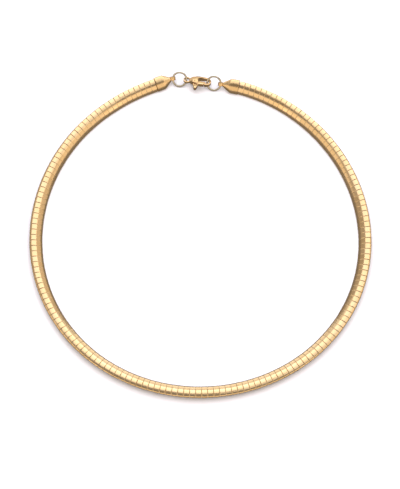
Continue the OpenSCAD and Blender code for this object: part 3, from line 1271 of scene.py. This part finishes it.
def soft_box(name, spot, aim, colour, width, depth, glow):
    """A rectangular soft light from a spot towards an aim, as bright as its glow says in a mirror."""
    light = bpy.data.lights.new(name, "AREA")
    light.shape = "RECTANGLE"
    light.size = width
    light.size_y = depth
    light.energy = glow * math.pi * width * depth
    light.color = colour
    lamp = bpy.data.objects.new(name, light)
    lamp.location = spot
    lamp.rotation_euler = (Vector(aim) - Vector(spot)).to_track_quat("-Z", "Y").to_euler()
    lamp.visible_camera = False
    bpy.context.collection.objects.link(lamp)
    print("soft box", name, width, "by", depth, "m,", round(light.energy, 2), "W")


soft_box("over", (0.09, 0.81, 0.9), (0.09, 0.81, 0), WHITE, width=1.02, depth=1.18, glow=1.3)

# %% [markdown]
# Two smaller white boxes in front of the first fill the dark gap that would lie next to its reflection.
# Warm ones at the sides and in front give the browns. The left wall is the darkest of them, which is why
# the right side of the band is darker than the left. Two white ones at the back light what faces away
# from the camera.

# %% Hang the other soft boxes
WARM = (1, 0.84, 0.62)
soft_box("fill_left", (-0.23, 0.16, 0.9), (-0.23, 0.16, 0), WHITE, width=0.36, depth=0.14, glow=0.8)
soft_box("fill_right", (0.33, 0.08, 0.9), (0.33, 0.08, 0), WHITE, width=0.56, depth=0.3, glow=0.8)
soft_box("left", (-0.5, 0.35, 0.45), (0, 0.35, 0.45), WARM, width=0.6, depth=0.9, glow=0.2)
soft_box("left_front", (-0.5, -0.2, 0.5), (0, -0.2, 0.5), WARM, width=0.5, depth=0.8, glow=0.78)
soft_box("right", (0.5, 0.33, 0.4), (0, 0.33, 0.4), WARM, width=0.55, depth=1.0, glow=0.5)
soft_box("right_front", (0.5, -0.2, 0.5), (0, -0.2, 0.5), WARM, width=0.5, depth=0.8, glow=0.78)
soft_box("front", (0, -0.6, 0.52), (0, 0, 0.52), WARM, width=1.6, depth=0.96, glow=0.88)
soft_box("back", (0, 0.6, 0.45), (0, 0, 0.45), WHITE, width=0.9, depth=0.6, glow=0.65)
soft_box("backdrop", (0, 0.62, -0.1), (0, 0, -0.1), WHITE, width=0.8, depth=0.5, glow=1.0)

# %% [markdown]
# The card needs far more light than the metal does, or it would come out grey. Stronger boxes would burn
# out the metal. A very broad sun, hidden from reflections, brings the card to white and leaves a soft
# shadow on the side that faces the camera.

# %% Light the card
SKY_BREADTH = 100
SKY_TILT = -22
SKY_STRENGTH = 3.0
ROOM_TONE = (1, 0.97, 0.93, 1)
ROOM_STRENGTH = 0.25

sky = bpy.data.lights.new("sky", "SUN")
sky.energy = SKY_STRENGTH
sky.angle = math.radians(SKY_BREADTH)
sky_lamp = bpy.data.objects.new("sky", sky)
sky_lamp.rotation_euler = (math.radians(SKY_TILT), 0, 0)
sky_lamp.visible_glossy = False
bpy.context.collection.objects.link(sky_lamp)

world = bpy.data.worlds.new("studio")
world.use_nodes = True
room = world.node_tree.nodes["Background"].inputs
room["Color"].default_value = ROOM_TONE
room["Strength"].default_value = ROOM_STRENGTH
bpy.context.scene.world = world
bpy.context.scene.view_settings.view_transform = "Standard"
print("sky", SKY_BREADTH, "degrees broad, room", ROOM_STRENGTH)

# %% [markdown]
# ## The camera
#
# The photograph looks down steeply, which turns the round loop into an oval a little wider than high. How
# steeply follows from that oval, and how far away the camera was follows from how the near and the far
# side differ in size. A long lens at that distance fills the frame as the photograph does. The camera
# could be turned by hand until it fits, but a target and three numbers say the same and can be corrected
# one by one.

# %% Stand the camera in its place
ELEVATION = 68.2
DISTANCE = 0.803
FOCAL_LENGTH = 136.5
SENSOR = 36
AIM = Vector((0.04, -4.51, 0))
camera_data = bpy.data.cameras.new("camera")
camera_data.sensor_fit = "VERTICAL"
camera_data.sensor_height = SENSOR
camera_data.lens = FOCAL_LENGTH
camera = bpy.data.objects.new("camera", camera_data)
bpy.context.collection.objects.link(camera)
target = (AIM - middle) * MM
camera.location = target + DISTANCE * Vector((0, -cos(ELEVATION), sin(ELEVATION)))
camera.rotation_euler = (target - camera.location).to_track_quat("-Z", "Y").to_euler()
bpy.context.scene.camera = camera
print("camera", [round(v, 3) for v in camera.location], "m, looking down", ELEVATION, "degrees")

# %% [markdown]
# ## Measure the result
#
# The finished necklace should fill the same box as the solid frame. Looking at it wouldn't show a tenth
# of a millimetre, so both boxes are written down side by side. A piece that has drifted, swollen or sunk
# then shows up as a number.

# %% Measure and finish
visual_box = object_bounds()
for label, box in (("frame", cad_box), ("finished", visual_box)):
    print(label, "box in mm", [[round(v / MM, 2) for v in corner] for corner in box])
